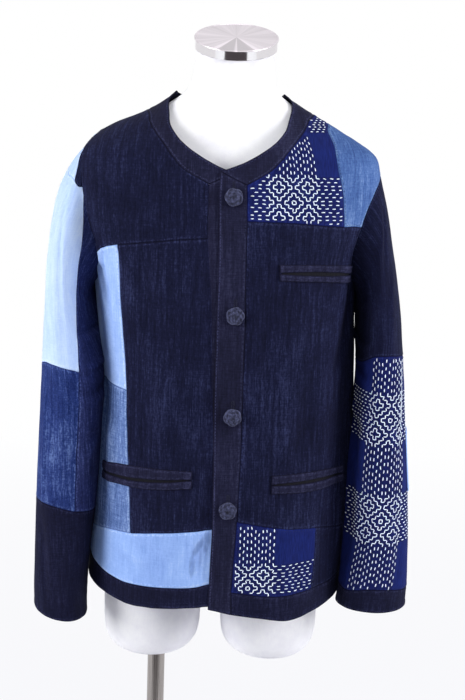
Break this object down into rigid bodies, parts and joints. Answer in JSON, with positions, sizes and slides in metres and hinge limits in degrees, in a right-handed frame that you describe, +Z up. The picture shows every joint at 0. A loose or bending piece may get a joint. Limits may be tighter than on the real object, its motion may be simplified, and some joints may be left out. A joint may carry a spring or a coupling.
{
  "type": "patched boro jacket on a limbless dress form",
  "caption": "Collarless patchwork jacket with long sleeves, a buttoned front and welted pockets, worn on a limbless torso form that stands on a steel pole and a round base.",
  "frame": {"origin": "centre of the base plate's underside, on the floor", "axes": "+Z up, from the base to the neck cap; -Y is the jacket's front; +X is the wearer's left side"},
  "size_m": [0.5202, 0.36, 1.3886],
  "materials": {
    "indigo": "matte, dark indigo cotton with fine slubs",
    "charcoal": "matte, blue-black cotton, slightly browner than the panels",
    "light_blue": "matte, washed-out pale denim",
    "grey_blue": "matte, worn grey-blue denim",
    "chambray": "matte, mid-blue chambray",
    "mid_denim": "matte, mid-blue denim",
    "sashiko": "matte, navy cotton covered in white running stitches",
    "button_cord": "matte, dark grey-blue knotted cord",
    "form_jersey": "matte, off-white jersey over a hard form",
    "brushed_steel": "satin"
  },
  "bodies": {
    "root": {"back_hem_band": "charcoal", "back_neck_band": "charcoal", "back_panel": "indigo", "base_plate": "brushed_steel", "button_1": "button_cord", "button_2": "button_cord", "button_3": "button_cord", "button_4": "button_cord", "chest_pocket_lower_welt": "charcoal", "chest_pocket_upper_welt": "charcoal", "left_front_band": "charcoal", "left_front_chambray": "chambray", "left_front_hem_band": "charcoal", "left_front_hem_sashiko": "sashiko", "left_front_lower_side": "indigo", "left_front_main": "indigo", "left_front_shoulder_sashiko": "sashiko", "left_neck_band": "charcoal", "left_pocket_lower_welt": "charcoal", "left_pocket_upper_welt": "charcoal", "left_sleeve_back": "indigo", "left_sleeve_cuff": "charcoal", "left_sleeve_light_patch": "light_blue", "left_sleeve_sashiko": "sashiko", "left_sleeve_upper": "indigo", "neck_cap": "brushed_steel", "pole_socket": "brushed_steel", "right_front_band": "charcoal", "right_front_grey_patch": "grey_blue", "right_front_hem_band": "charcoal", "right_front_hem_patch": "light_blue", "right_front_light_strip": "light_blue", "right_front_main": "indigo", "right_front_yoke": "indigo", "right_neck_band": "charcoal", "right_pocket_lower_welt": "charcoal", "right_pocket_upper_welt": "charcoal", "right_sleeve_corner": "indigo", "right_sleeve_crown": "light_blue", "right_sleeve_cuff": "charcoal", "right_sleeve_denim_patch": "mid_denim", "right_sleeve_inner": "indigo", "right_sleeve_light_panel": "light_blue", "stand_pole": "brushed_steel", "torso_body": "form_jersey"}
  },
  "joints": []
}
